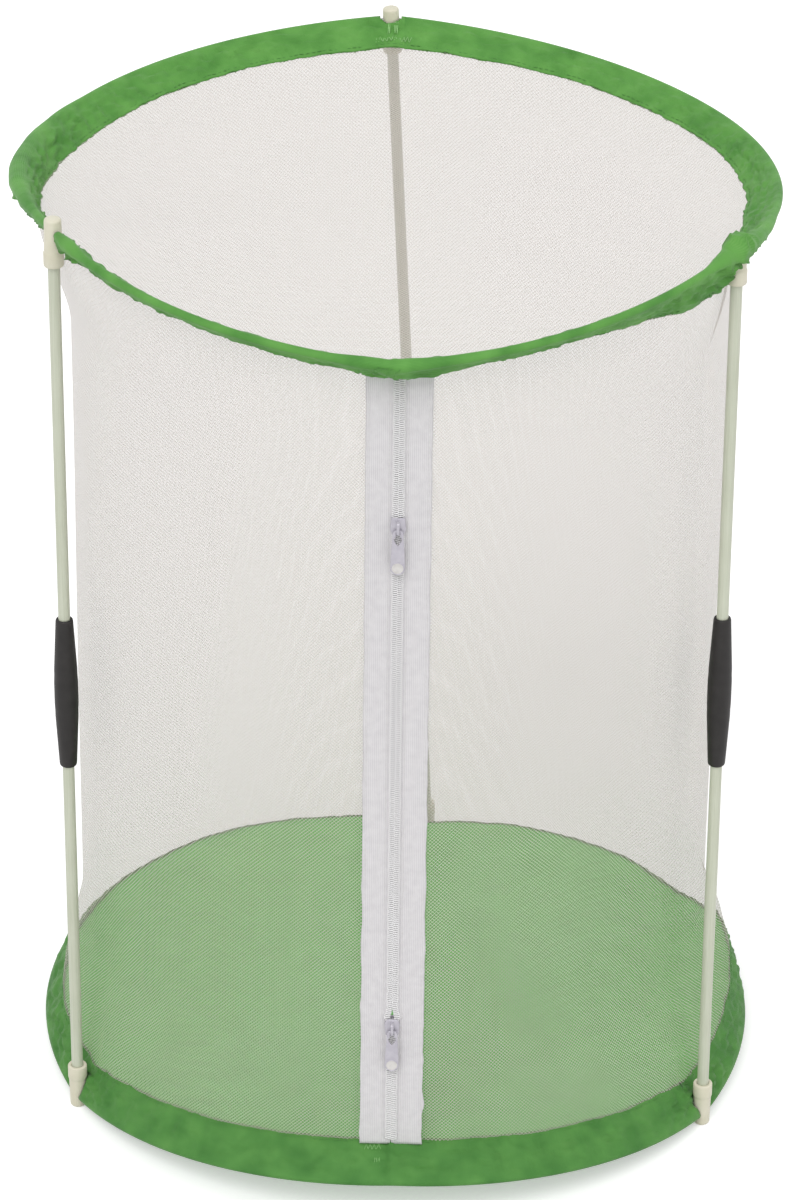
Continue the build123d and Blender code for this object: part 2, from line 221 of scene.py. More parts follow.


# Knitted net: two families of fine white threads at 45 degrees, and a faint dark film across the holes, painted
# shade that greys what shows through them.
# Each wave is a size and how far the threads stray over it. A cover is the share of the light it stops.
netWeave = {"roughness": 0.85, "pitch": 1.36, "thin": 0.88, "full": 0.985, "turns": (45, -45),
            "waves": ((45, 1.2), (6, 0.14)), "hole": (0.30, 0.24, 0.19), "thread": (0.775, 0.725, 0.695),
            "holeShadeCover": 0.225, "threadCover": 0.82}


def makeNet():
    net = Finish("whiteNet", netWeave["thread"], netWeave["roughness"], 0.1)
    flat = net.onCloth()
    for size, depth in netWeave["waves"]:
        cloud = net.grain(net.onCloth(), size, 2, output="Color")
        flat = net.add("VectorMath", cloud, (depth * mm, depth * mm, 0), flat, operation="MULTIPLY_ADD").outputs[0]
    families = (net.bands(net.turned(flat, turn), netWeave["pitch"]) for turn in netWeave["turns"])
    crossed = net.combine("MAXIMUM", *(net.add("MapRange", family, netWeave["thin"], netWeave["full"]).outputs[0]
                                       for family in families))
    # The hole colour and its cover are painted shade: a faint dark film over what is seen through the holes
    net.color(crossed, (0.05, netWeave["hole"]), (0.4, netWeave["thread"]))
    cover = net.combine("MULTIPLY", crossed, netWeave["threadCover"] - netWeave["holeShadeCover"])
    net.links.new(net.combine("ADD", cover, netWeave["holeShadeCover"]), net.shader["Alpha"])
    return net.material


# Woven tape: ribs along it, picks across it and a faint cloud
tapeWeave = {"roughness": 0.7, "ribs": 0.85, "picks": 0.5, "ribShare": 0.6, "cloud": 4, "cloudShare": 0.5,
             "relief": 0.12, "low": (0.60, 0.58, 0.60), "high": (0.76, 0.745, 0.755)}


def makeTapeCloth():
    weave = tapeWeave
    tape = Finish("zipperTape", weave["high"], weave["roughness"], 0.25, Sheen_Weight=0.15)
    flat = tape.onCloth()
    threads = tape.mix(tape.bands(flat, weave["ribs"], "X"), weave["ribShare"],
                       tape.bands(flat, weave["picks"], "Y"), 1 - weave["ribShare"])
    cloud = tape.grain(flat, weave["cloud"], 3)
    tape.color(tape.mix(threads, 1 - weave["cloudShare"], cloud, weave["cloudShare"]),
               (0.2, weave["low"]), (0.7, weave["high"]))
    tape.bump(threads, weave["relief"], 0.8)
    return tape.material


threadTwist = {"turn": 35, "pitch": 0.35, "depth": 0.05}


def makeThread(name, low, high):
    thread = Finish(name, high, 0.6, 0.3)
    twist = thread.bands(thread.turned(thread.onObject(), threadTwist["turn"]), threadTwist["pitch"], "DIAGONAL")
    thread.color(twist, (0.2, low), (0.8, high))
    thread.bump(twist, threadTwist["depth"], 0.6)
    return thread.material


def makePlastic(name, low, high, roughness, cloudSize):
    plastic = Finish(name, high, roughness, 0.4)
    here = plastic.onObject()
    plastic.color(plastic.grain(here, cloudSize, 4), (0.3, low), (0.7, high))
    plastic.bump(plastic.grain(here, 0.7, 2), 0.03, 0.5)
    return plastic.material


# Pultruded glass-fibre rod: streaks along its length and a broad cloud
rodStreaks = {"size": 0.6, "stretch": 0.02, "share": 0.6, "cloud": 25, "depth": 0.06}


def makeFibreglass(name, low, high):
    rod = Finish(name, high, 0.42, 0.45)
    here = rod.onObject()
    streaks = rod.grain(rod.turned(here, 0, (1, 1, rodStreaks["stretch"])), rodStreaks["size"], 4)
    cloud = rod.grain(here, rodStreaks["cloud"], 3)
    rod.color(rod.mix(streaks, rodStreaks["share"], cloud, 1 - rodStreaks["share"]), (0.3, low), (0.7, high))
    rod.bump(streaks, rodStreaks["depth"], 0.6)
    return rod.material


def makeMetal(name, low, high, roughness, metallic):
    metal = Finish(name, high, roughness, Metallic=metallic)
    here = metal.onObject()
    metal.color(metal.grain(here, 2.5, 4), (0.3, low), (0.75, high))
    metal.bump(metal.grain(here, 0.25, 3), 0.03, 0.6)
    return metal.material


finishes = {
    "green_cloth": makeGreenCloth("greenCloth", greens["top"], 1.1),
    # The floor cloth is painted lighter than the green cloth, to make up for the net's shade on it
    "floorCloth": makeGreenCloth("floorCloth", greens["floor"], 0.3),
    # The low cloth is painted darker than the green cloth: painted shade on the bottom casing
    "lowCloth": makeGreenCloth("lowCloth", greens["low"], 1.0),
    "white_net": makeNet(),
    "zipper_tape": makeTapeCloth(),
    "zipper_coil": makeThread("coilNylon", (0.82, 0.81, 0.815), (0.90, 0.89, 0.895)),
    "greenThread": makeThread("greenThread", (0.05, 0.17, 0.035), (0.11, 0.30, 0.07)),
    "paleGreenThread": makeThread("paleGreenThread", (0.16, 0.40, 0.10), (0.34, 0.62, 0.26)),
    "whiteThread": makeThread("whiteThread", (0.62, 0.61, 0.60), (0.78, 0.77, 0.76)),
    "fibreglass": makeFibreglass("fibreglass", (0.50, 0.53, 0.41), (0.62, 0.645, 0.53)),
    # Paler copy of the fibreglass for the back rods: painted light making up for the net's shade on them
    "cleanFibreglass": makeFibreglass("cleanFibreglass", (0.66, 0.68, 0.58), (0.76, 0.775, 0.69)),
    "black_plastic": makePlastic("blackPlastic", (0.009, 0.0075, 0.007), (0.017, 0.0145, 0.014), 0.55, 6),
    "ivory_plastic": makePlastic("ivoryPlastic", (0.66, 0.63, 0.49), (0.74, 0.71, 0.58), 0.42, 8),
    "slider_metal": makeMetal("sliderPaint", (0.45, 0.43, 0.485), (0.54, 0.52, 0.57), 0.42, 0.2),
    "paleLacquer": makePlastic("paleLacquer", (0.60, 0.58, 0.56), (0.70, 0.68, 0.66), 0.4, 2),
    "spring_wire": makeMetal("springWire", (0.38, 0.38, 0.38), (0.50, 0.50, 0.49), 0.35, 1.0),
    "crimp_sleeve": makeMetal("crimpSleeve", (0.50, 0.50, 0.51), (0.62, 0.62, 0.63), 0.4, 1.0),
}
backRodsPaintedLighter = ("back_rod_lower", "back_rod_upper")   # painted lighter: a paler finish that makes up for the shade the net casts on them
slotOf = {row["node"]: row["material_slot"] for row in frame["record"]["subparts"]}
for node in frame["nodes"]:
    obj = bpy.data.objects.get(node)
    if obj and slotOf.get(node) in finishes:
        obj.data.materials.clear()
        obj.data.materials.append(finishes["cleanFibreglass" if node in backRodsPaintedLighter else slotOf[node]])
print("materials ready")


def newPiece(name, bm, material, body="cage", replaced=None):
    mesh = bpy.data.meshes.new(name)
    for face in bm.faces:
        face.smooth = True
    bm.to_mesh(mesh)
    bm.free()
    mesh.materials.append(finishes[material])
    piece = bpy.data.objects.new(name, mesh)
    bpy.context.scene.collection.objects.link(piece)
    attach(piece, body)
    if replaced:
        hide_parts(replaced)
    return piece


# Gives a sheet its thickness, to one side or about its middle
def thicken(piece, thickness, offset):
    thick = piece.modifiers.new("thickness", "SOLIDIFY")
    thick.thickness, thick.offset = thickness * mm, offset


# Shaping helpers: an open row of points, its sweep about Z, and turns, moves and stretches of a mesh
def rowOf(points):
    bm = bmesh.new()
    verts = [bm.verts.new(point) for point in points]
    for pair in zip(verts, verts[1:]):
        bm.edges.new(pair)
    return bm


def sweep(bm, angle, steps, rise=0.0, merge=False):
    bmesh.ops.spin(bm, geom=list(bm.verts) + list(bm.edges), cent=(0, 0, 0), axis=(0, 0, 1),
                   dvec=(0, 0, rise), angle=angle, steps=steps, use_merge=merge)


def rotate(bm, angle, axis):
    bmesh.ops.rotate(bm, cent=(0, 0, 0), matrix=Matrix.Rotation(angle, 3, axis), verts=bm.verts)


def move(bm, shift):
    bmesh.ops.translate(bm, vec=shift, verts=bm.verts)


def stretch(bm, factors):
    bmesh.ops.scale(bm, vec=factors, verts=bm.verts)


def faceOut(bm):
    bmesh.ops.recalc_face_normals(bm, faces=bm.faces)


# Copies all of a mesh beside itself, turned and moved, a number of times over, each time twice as far
def doubled(bm, times, turn=0.0, shift=(0, 0, 0)):
    shift = Vector(shift)
    for _ in range(times):
        copy = bmesh.ops.duplicate(bm, geom=list(bm.verts) + list(bm.edges) + list(bm.faces))["geom"]
        verts = [part for part in copy if isinstance(part, bmesh.types.BMVert)]
        bmesh.ops.rotate(bm, cent=(0, 0, 0), matrix=Matrix.Rotation(turn, 3, "Z"), verts=verts)
        bmesh.ops.translate(bm, vec=shift, verts=verts)
        turn, shift = turn * 2, shift * 2
    bmesh.ops.remove_doubles(bm, verts=bm.verts, dist=1e-5)


# Hoops: planar arcs between the sockets and the front, as in the CAD frame
hoopShape = {
    "bottom": {"radius": 172.0, "shift": 1.0, "height": 6.0, "azimuths": (-63.0, 60.0, 175.0),
               "front": 17.0, "halfBow": 2.2, "rightBow": 8.4, "leftBow": 8.4},
    "top": {"radius": 172.0, "shift": -1.0, "height": 465.6, "azimuths": (-63.2, 60.0, 182.2),
            "front": -18.2, "halfBow": 0.7, "rightBow": -11.7, "leftBow": -7.1},
}
sides = ("left", "right", "back")
easeAngle = 2.5    # over which the wire's bends at the sockets are eased
bandRadius = 165.0   # of the cloth bands round the cage


def ringPoint(shape, azimuth, height):
    turn = radians(azimuth)
    return Vector((shape["shift"] + shape["radius"] * sin(turn), -shape["radius"] * cos(turn), height))


def arcSpan(shape, start, end, bow):
    middle = ((start[0] + end[0]) / 2, (start[1] + end[1]) / 2 + bow)
    first, second, third = (ringPoint(shape, *point) for point in (start, middle, end))
    one, two = second - first, third - first
    normal = one.cross(two)
    offset = (two * one.length_squared - one * two.length_squared).cross(normal)
    centre = first + offset / (2 * normal.length_squared)
    normal.normalize()
    spoke = first - centre
    across = normal.cross(spoke)
    angle = atan2((third - centre).dot(across) / spoke.length, (third - centre).dot(spoke) / spoke.length)
    return {"start": start[0], "end": end[0], "centre": centre, "spoke": spoke, "across": across,
            "normal": normal, "sweep": angle % tau}


def hoopSpans(shape):
    left, right, back = shape["azimuths"]
    level, front = shape["height"], shape["height"] + shape["front"]
    return [arcSpan(shape, (left, level), (0.0, front), shape["halfBow"]),
            arcSpan(shape, (0.0, front), (right, level), shape["halfBow"]),
            arcSpan(shape, (right, level), (back, level), shape["rightBow"]),
            arcSpan(shape, (back, level), (left + 360.0, level), shape["leftBow"])]


spans = {level: hoopSpans(shape) for level, shape in hoopShape.items()}


def spanFrame(level, azimuth):
    first = spans[level][0]["start"]
    azimuth = (azimuth - first) % 360 + first
    for span in spans[level]:
        if azimuth <= span["end"]:
            turn = (azimuth - span["start"]) / (span["end"] - span["start"]) * span["sweep"]
            spoke = span["spoke"] * cos(turn) + span["across"] * sin(turn)
            return span["centre"] + spoke, spoke.normalized(), span["normal"]


# The wire's place and its directions outwards and up
@lru_cache(None)
def hoopFrame(level, azimuth):
    origin, spoke, _ = spanFrame(level, azimuth)
    up = (spanFrame(level, azimuth - easeAngle)[2] + spanFrame(level, azimuth + easeAngle)[2]).normalized()
    return origin, (spoke - up * spoke.dot(up)).normalized(), up


def hoopPoint(level, azimuth, out, rise):
    origin, spoke, up = hoopFrame(level, azimuth)
    return origin + spoke * out + up * rise


def rodAxis(side):
    index = sides.index(side)
    return [spanFrame(level, hoopShape[level]["azimuths"][index])[0] for level in ("bottom", "top")]


def noiseAt(*spot):
    return noise.noise(Vector(spot))


# Smooth noise round the hoop, with features a given number of millimetres long
def ripple(azimuth, size, seed):
    turn = radians(azimuth)
    return noiseAt(cos(turn) * bandRadius / size, sin(turn) * bandRadius / size, seed)


def smoothStep(value):
    value = max(0.0, min(1.0, value))
    return value * value * (3 - 2 * value)


# Eased values from a table of rows (azimuth, values...) that runs from -180 to 180
def tableAt(table, azimuth):
    azimuth = (azimuth + 180) % 360 - 180
    for (low, *first), (high, *second) in zip(table, table[1:]):
        if azimuth <= high:
            share = smoothStep((azimuth - low) / (high - low))
            return [a + (b - a) * share for a, b in zip(first, second)]
    return table[-1][1:]


# Seams: azimuth, how far in from the wire and how far up, and how strongly the cloth puckers there
seams = {
    "top": [
        (-180, 15.4, -7.4, 0.8), (-170, 15.8, -7.6, 0.8), (-155, 14.6, -7.5, 0.9), (-130, 14.0, -7.8, 1.0),
        (-120, 12.3, -8.8, 1.0), (-110, 10.4, -10, 1.1), (-100, 7.6, -11.5, 1.2), (-90, 6, -12, 1.3),
        (-82, 5, -10.5, 1.4), (-75, 4.2, -8, 1.4), (-69, 3.2, -5, 1.4), (-63, 2.8, -4, 1.0),
        (-58, 4.5, -5.5, 2.4), (-52, 8.5, -8, 1.6), (-42, 12, -10, 0.8), (-30, 14, -11, 0.7),
        (-9, 14, -11, 0.8), (-2, 13.5, -12.2, 2.0), (3, 13.5, -12.2, 1.8), (11, 14, -11, 0.8),
        (25, 14, -11, 0.8), (40, 11, -12.5, 0.9), (50, 6.5, -16, 1.4), (58, 6, -16.5, 2.4),
        (66, 9, -14.5, 2.0), (75, 13, -12.5, 1.4), (85, 13, -11, 1.0), (92, 11.6, -9.3, 1.0),
        (105, 10.8, -8, 0.9), (115, 11.4, -7.5, 0.8), (130, 12.2, -7.2, 0.8), (145, 13.3, -7, 0.8),
        (160, 14, -7, 0.7), (170, 15, -7.3, 0.8), (180, 15.4, -7.4, 0.8)],
    "bottom": [
        (-180, 14, 14.5, 0.6), (-100, 7, 14.5, 0.8), (-84, 5.8, 12.5, 0.9), (-63, 8, 13.5, 1.4),
        (-45, 11, 14.5, 0.7), (-3, 14, 14.5, 0.8), (0, 14, 14.5, 1.0), (45, 11, 14.5, 0.7),
        (57, 8.8, 14, 1.2), (62, 8.2, 14, 1.4), (80, 7, 14.5, 0.8), (90, 4.5, 15.5, 0.8),
        (98, 2.5, 18, 0.9), (107, 1.5, 20, 1.4), (111, 5, 17, 1.2), (120, 8.6, 14.5, 0.7),
        (180, 14, 14.5, 0.6)],
}
# Folds: azimuth, how far the cloth stands out beyond the wire, and how much rounder its fold is
folds = {
    "top": [
        (-180, 0, 0), (-121, 0, 0), (-110, 0.8, 0.9), (-100, 1.6, 1.9), (-90, 2.3, 2.7), (-85, 2.1, 2.6),
        (-78, 1.0, 1.5), (-70, 0, 0.2), (-62, 0, 0), (-58, 0, 1.3), (-53, 0, 0.3), (-40, 0, 0),
        (-11, 0, 0), (-4, 0, 1.0), (1, 0, 1.1), (9, 0, 0.4), (16, 0, 0), (51, 0, 0), (56, 0.3, 2.0),
        (58.4, 0.7, 3.4), (61.6, 0.8, 3.4), (64, 1.0, 2.2), (69, 0.9, 0.9), (78, -0.3, 0),
        (100, -0.2, 0), (108, 0, 0), (180, 0, 0)],
    "bottom": [(-180, 0, 0), (180, 0, 0)],
}
seamWave = {"broad": 26.0, "broadDepth": 0.8, "fine": 5.5, "fineDepth": 0.75, "seed": {"top": 3.1, "bottom": 8.7}}


@lru_cache(None)
def seamAt(level, azimuth):
    inset, rise, pucker = tableAt(seams[level], azimuth)
    seed = seamWave["seed"][level]
    inset += seamWave["broadDepth"] * ripple(azimuth, seamWave["broad"], seed)
    inset += seamWave["fineDepth"] * pucker * ripple(azimuth, seamWave["fine"], seed + 1)
    rise += seamWave["broadDepth"] * ripple(azimuth, seamWave["broad"], seed + 2)
    return inset, rise, pucker


ringDoublings = 4     # a ring is swept over its sixteenth and then doubled
gaugeAzimuth = -150.0   # where a sheet's UV map takes its lengths


# A sheet that runs round the cage: its profile is swept, then every point is put in place
def ringSheet(profile, steps, place, start=-180.0, end=180.0, pole=False):
    turn = radians(start)
    bm = rowOf([(sin(turn), -cos(turn), t) for t in profile])
    part = radians(end - start) / 2 ** ringDoublings
    sweep(bm, part, steps // 2 ** ringDoublings)
    doubled(bm, ringDoublings, part)
    uv = bm.loops.layers.uv.new("cloth")
    spots = {}
    for vert in bm.verts:
        azimuth, t = round(degrees(atan2(vert.co.x, -vert.co.y)), 3), round(vert.co.z, 4)
        spots[vert] = (azimuth, t)
        vert.co = place(azimuth, t) * mm
    runs = {round(profile[0], 4): 0.0}
    for one, two in zip(profile, profile[1:]):
        step = (place(gaugeAzimuth, two) - place(gaugeAzimuth, one)).length
        runs[round(two, 4)] = runs[round(one, 4)] + step
    for face in bm.faces:
        middle = spots[face.verts[0]][0]
        for loop in face.loops:
            azimuth, t = spots[loop.vert]
            azimuth += 360 * round((middle - azimuth) / 360)
            if pole:
                loop[uv].uv = loop.vert.co.xy
            else:
                loop[uv].uv = (radians(azimuth) * bandRadius * mm, runs[t] * mm)
    if pole:
        bmesh.ops.remove_doubles(bm, verts=bm.verts, dist=1e-6)
    return bm


# Casings: one strip of cloth round each wire, folded outside and sewn through both plies inside.
# Each ply takes the ply share of the profile and the fold takes the rest.
plyShare = 0.43
casingCloth = {"steps": 720, "plyPoints": 13, "foldPoints": 8, "thickness": 0.3,
               "foldRadius": 1.9, "foldRough": 0.10, "roughFrom": 1.4, "roughSize": 2.6,
               "hem": 1.6, "hemWave": 0.7, "hemSize": 3.0, "seamGap": 0.35, "leastGap": 0.18,
               "closing": 0.8, "bulgeClosing": 0.3, "bellySize": 9.0, "bellyDepth": 0.8, "bellyShare": 0.6,
               "puckerSize": 3.2, "puckerDepth": 2.3, "puckerSpread": 2.2, "puckerDrift": 0.05,
               "puckerLean": 0.3109, "leanSize": 30, "leastPucker": 0.25,
               "slitWidth": 1.1, "slitDepth": -0.5, "slitFrom": 0.2}
# Where the strip's ends lap: azimuth, how far the upper end stands off, and how soon it settles
laps = {"bottom": (-0.9, 1.5, 4.0), "top": (-0.9, 0.5, 3.0)}


def casingProfile():
    cloth = casingCloth
    plies = [plyShare * i / cloth["plyPoints"] for i in range(cloth["plyPoints"])]
    fold = [plyShare + (1 - 2 * plyShare) * i / cloth["foldPoints"] for i in range(cloth["foldPoints"] + 1)]
    return plies + fold + [1 - t for t in reversed(plies)]


# How far a ply stands off the strip's middle, a given distance in from the wire
def plyGap(azimuth, along, near, face, foldRadius, bulge, pucker):
    cloth = casingCloth
    closing = near ** (cloth["closing"] + cloth["bulgeClosing"] * max(bulge, 0))
    gap = foldRadius + (cloth["seamGap"] - foldRadius) * closing
    belly = near * (1 - near) * 4
    gap += cloth["bellyDepth"] * belly * (cloth["bellyShare"] + ripple(azimuth, cloth["bellySize"], 5 * face))
    lean = cloth["puckerLean"] * along * ripple(azimuth, cloth["leanSize"], 2)
    crease = ripple(azimuth + lean, cloth["puckerSize"] * (cloth["puckerSpread"] - near),
                    9 + 3 * face + along * cloth["puckerDrift"])
    swell = cloth["leastPucker"] + (1 - cloth["leastPucker"]) * sin(pi * min(near * 0.85 + 0.1, 1))
    return max(gap + cloth["puckerDepth"] * pucker * swell * crease, cloth["leastGap"])


def casingPoint(level, azimuth, t):
    cloth = casingCloth
    inset, rise, pucker = seamAt(level, azimuth)
    reach = hypot(inset, rise)
    inward = Vector((-inset, rise)) / reach
    outer = Vector((inward.y, -inward.x))
    face = 1 if t < 0.5 else -1
    lapStart, lapDepth, lapFade = laps[level]
    past = azimuth - lapStart
    lap = lapDepth * exp(-((past - 0.5) / lapFade) ** 2) if past > 0 else 0.0
    share = min(t, 1 - t) / plyShare
    bulge, puff = tableAt(folds[level], azimuth)
    foldRadius = cloth["foldRadius"] + puff
    near = 0.0
    if share >= 1:
        turn = (t - plyShare) / (1 - 2 * plyShare) * pi
        rough = cloth["foldRough"] * puff * max(pucker - cloth["roughFrom"], 0)
        radius = foldRadius * (1 + rough * ripple(azimuth, cloth["roughSize"], 30 + turn))
        spot = (outer * cos(turn) - inward * sin(turn)) * (radius + lap * max(cos(turn), 0))
    else:
        hem = cloth["hem"] + cloth["hemWave"] * ripple(azimuth, cloth["hemSize"], 20 + face)
        along = (reach + hem) * (1 - share)
        near = min(along / reach, 1.0)
        gap = plyGap(azimuth, along, near, face, foldRadius, bulge, pucker)
        if face > 0:
            inSlit = -cloth["slitWidth"] < past <= 0 and near > cloth["slitFrom"]
            gap += cloth["slitDepth"] if inSlit else lap
        spot = inward * along + outer * face * gap
    return hoopPoint(level, azimuth, spot.x + bulge * (1 - near), spot.y)


# A spot on the strip's ply and the direction that leads out of it
def plySpot(level, azimuth, t, face):
    here, there = (casingPoint(level, azimuth, share) for share in ((t, 1 - t) if face > 0 else (1 - t, t)))
    return here, (here - there).normalized()


# Holes for the sockets, and the crumpled cloth that hoods the right-hand top socket instead.
# The crumples are (waves per metre, depth).
socketHole = {"radius": 5.0, "depth": 30, "reach": 1.6, "rim": 1.12, "rimPull": 0.3, "hoodTop": 6.6,
              "hoodLow": -1.0, "hoodReach": 0.9, "crumples": ((300, 0.9), (700, 0.5))}


# Cuts a round hole for each socket and draws the cut edge onto its rim
def fitSockets(bm, level):
    radius, depth = socketHole["radius"] * mm, socketHole["depth"] * mm
    for side in sides:
        low, high = rodAxis(side)
        axis = (high - low).normalized()
        tip, origin = (-axis, low * mm) if level == "bottom" else (axis, high * mm)
        hooded = (level, side) == ("top", "right")
        lowest = socketHole["hoodLow"] * mm if hooded else inf

        def local(point):
            away = point - origin
            height = away.dot(tip)
            return height, away - tip * height

        doomed = []
        for face in bm.faces:
            height, across = local(face.calc_center_median())
            if across.length < radius and -depth < height < lowest:
                doomed.append(face)
        bmesh.ops.delete(bm, geom=doomed, context="FACES")
        for vert in bm.verts:
            height, across = local(vert.co)
            share = across.length / radius
            if abs(height) >= depth or share > socketHole["reach"] or share == 0:
                continue
            if hooded and height > lowest:
                crumple = sum(noise.noise(vert.co * waves) * size for waves, size in socketHole["crumples"])
                if share < socketHole["hoodReach"]:
                    vert.co += tip * max((socketHole["hoodTop"] + crumple) * mm - height, 0)
                else:
                    vert.co += across.normalized() * abs(crumple) * mm
            elif share < socketHole["rim"]:
                pull = 1.0 if share < 1 else socketHole["rimPull"]
                vert.co += across.normalized() * (radius - across.length) * pull


def makeCasing(level):
    bm = ringSheet(casingProfile(), casingCloth["steps"], lambda azimuth, t: casingPoint(level, azimuth, t))
    fitSockets(bm, level)
    faceOut(bm)
    # The bottom casing takes the darker copy of the green cloth: painted shade
    cloth = "lowCloth" if level == "bottom" else "green_cloth"
    piece = newPiece(f"{level}_casing", bm, cloth, replaced=f"{level}_binding")
    thicken(piece, casingCloth["thickness"], -1)
    return piece


casings = {level: makeCasing(level) for level in ("bottom", "top")}
print("casings made")

# Net wall, drawn in between the hoops so that the rods stand just outside it.
# Its slack is noise of (waves round the cage, waves up it, seed, share).
wall = {"waistHalfWidth": (153.0, 151.5), "waistHalfDepth": 158.0, "lowEnd": 0.15, "highEnd": 0.14,
        "rows": 70, "steps": 304, "zipperHalfWidth": 12.5, "slack": 0.9, "overSeam": 0.2,
        "lift": {"bottom": 0.4, "top": -0.5}, "waves": ((3.4, 3.1, 0, 1.0), (11, 4.0, 7, 0.5))}


@lru_cache(None)
def seamEdge(level, azimuth, lift):
    inset, rise, _ = seamAt(level, azimuth)
    return hoopPoint(level, azimuth, -inset - wall["overSeam"], rise + lift)


def wallPoint(azimuth, t):
    low, high = (seamEdge(level, azimuth, lift) for level, lift in wall["lift"].items())
    spot = low.lerp(high, t)
    turn = radians(azimuth)
    half = wall["waistHalfWidth"][0 if sin(turn) < 0 else 1]
    middle = Vector((half * sin(turn), -wall["waistHalfDepth"] * cos(turn), spot.z))
    pull = smoothStep(t / wall["lowEnd"]) * smoothStep((1 - t) / wall["highEnd"])
    spot = spot.lerp(middle, pull)
    out = Vector((sin(turn), -cos(turn), 0))
    slack = sum(share * noiseAt(cos(turn) * around, sin(turn) * around, t * up + seed)
                for around, up, seed, share in wall["waves"])
    return spot + out * wall["slack"] * slack * sin(pi * min(max(t, 0.0), 1.0))


def makeWall():
    gap = degrees(asin(wall["zipperHalfWidth"] / wall["waistHalfDepth"]))
    profile = [i / wall["rows"] for i in range(wall["rows"] + 1)]
    bm = ringSheet(profile, wall["steps"], wallPoint, gap, 360 - gap)
    return newPiece("net_wall", bm, "white_net", replaced="wall_mesh")


# Roof net and cloth floor: discs held at the seam, a height above or below the wire in their middle.
# Broad and fine waves lift both, and slanting folds the floor's middle.
discs = {"roof": {"level": "top", "lift": -0.6, "middle": -15.5, "sag": -1.5, "wave": 0.8, "rings": 30},
         "floor": {"level": "bottom", "lift": 0.5, "middle": 19.5, "sag": -3.0, "wave": 1.3, "rings": 40}}
discCloth = {"steps": 240, "rise": 2.2, "hold": 6, "broad": 45, "fine": 18, "fineShare": 0.5,
             "foldShare": 0.9, "foldSize": 26, "foldSlant": 60}


def discPoint(kind, azimuth, t):
    spec, cloth = discs[kind], discCloth
    rim = seamEdge(spec["level"], azimuth, spec["lift"])
    middle = hoopShape[spec["level"]]["height"] + spec["middle"]
    height = middle + (rim.z - middle) * t ** cloth["rise"] + spec["sag"] * (1 - t * t)
    spot = Vector((rim.x * t, rim.y * t, height))
    wave = noiseAt(spot.x / cloth["broad"], spot.y / cloth["broad"], 4.0)
    wave += cloth["fineShare"] * noise.noise(spot / cloth["fine"])
    if kind == "floor":
        fold = abs(noiseAt(spot.x / cloth["foldSize"] + spot.y / cloth["foldSlant"], 2.0, 1.0))
        wave += cloth["foldShare"] * (1 - t) * fold
    spot.z += spec["wave"] * wave * (1 - t ** cloth["hold"])
    return spot


def makeDisc(kind):
    spec = discs[kind]
    profile = [i / spec["rings"] for i in range(spec["rings"] + 1)]
    bm = ringSheet(profile, discCloth["steps"], lambda azimuth, t: discPoint(kind, azimuth, t), pole=True)
    faceOut(bm)
    if kind == "roof":
        return newPiece("net_roof", bm, "white_net", replaced="top_mesh")
    # The floor takes the brighter copy of the green cloth: painted light
    return newPiece("cloth_floor", bm, "floorCloth", replaced="floor_panel")


netWall = makeWall()
netRoof = makeDisc("roof")
clothFloor = makeDisc("floor")
print("net and floor made")

# Zipper: two woven tapes and the two nylon coils. The chain parts a little where the lower slider
# opens it. Waves of a tape's edge are (depth, size, seed by side, seed).
zipper = {"inner": 0.12, "width": 14.6, "back": 158.55, "low": 35.5, "high": 442.0, "columns": 14, "rows": 260,
          "thickness": 0.35, "partFrom": 106.6, "partLength": 6.0, "partWidth": 1.1, "partCurve": 1.3,
          "partRamp": 3, "waves": ((0.5, 17, 5, 2), (0.25, 5, 9, 4)), "lowWave": (1.1, 9, 2, 8),
          "lowTop": 115, "lowFade": 60, "leftShare": 0.4, "standOff": 0.25, "roll": 0.35, "slope": 0.15}
coilShape = {"centre": 1.3, "halfWidth": 1.3, "halfDepth": 0.6, "depth": 159.75, "wire": 0.37,
             "doublings": 7, "turns": 3, "stepsPerTurn": 10, "wireSides": 5, "low": 38.2, "high": 436.5}
sideOf = {-1: "left", 1: "right"}


# How far each half of the chain is parted at a height
def partedBy(z):
    rise = (z - zipper["partFrom"]) / zipper["partLength"]
    if rise < 0:
        return zipper["partWidth"] * max(1 + rise * zipper["partRamp"], 0)
    return zipper["partWidth"] * max(1 - rise, 0) ** zipper["partCurve"]


def tapePoint(hand, across, z):
    def wave(depth, size, sideSeed, seed):
        return depth * noiseAt(hand * sideSeed, z / size, seed)

    lowShare = smoothStep((zipper["lowTop"] - z) / zipper["lowFade"]) * (1 if hand > 0 else zipper["leftShare"])
    edge = sum(wave(*row) for row in zipper["waves"]) + lowShare * wave(*zipper["lowWave"])
    x = zipper["inner"] + (zipper["width"] - zipper["inner"] + edge) * across + partedBy(z) * (1 - across)
    roll = zipper["roll"] * noiseAt(hand * 3.0, z / 22, across * 1.5) * smoothStep(across * 2 - 0.6)
    return Vector((hand * x, -zipper["back"] - zipper["standOff"] - roll - zipper["slope"] * across, z))


def makeTape(hand):
    bm = bmesh.new()
    bmesh.ops.create_grid(bm, x_segments=zipper["columns"], y_segments=zipper["rows"], size=0.5)
    uv = bm.loops.layers.uv.new("cloth")
    for vert in bm.verts:
        z = zipper["low"] + (zipper["high"] - zipper["low"]) * (vert.co.y + 0.5)
        vert.co = tapePoint(hand, vert.co.x + 0.5, z) * mm
    for face in bm.faces:
        for loop in face.loops:
            loop[uv].uv = (loop.vert.co.x, loop.vert.co.z)
    side = sideOf[hand]
    tape = newPiece(f"tape_{side}", bm, "zipper_tape", replaced=f"zipper_tape_{side}")
    thicken(tape, zipper["thickness"], 0)
    return tape


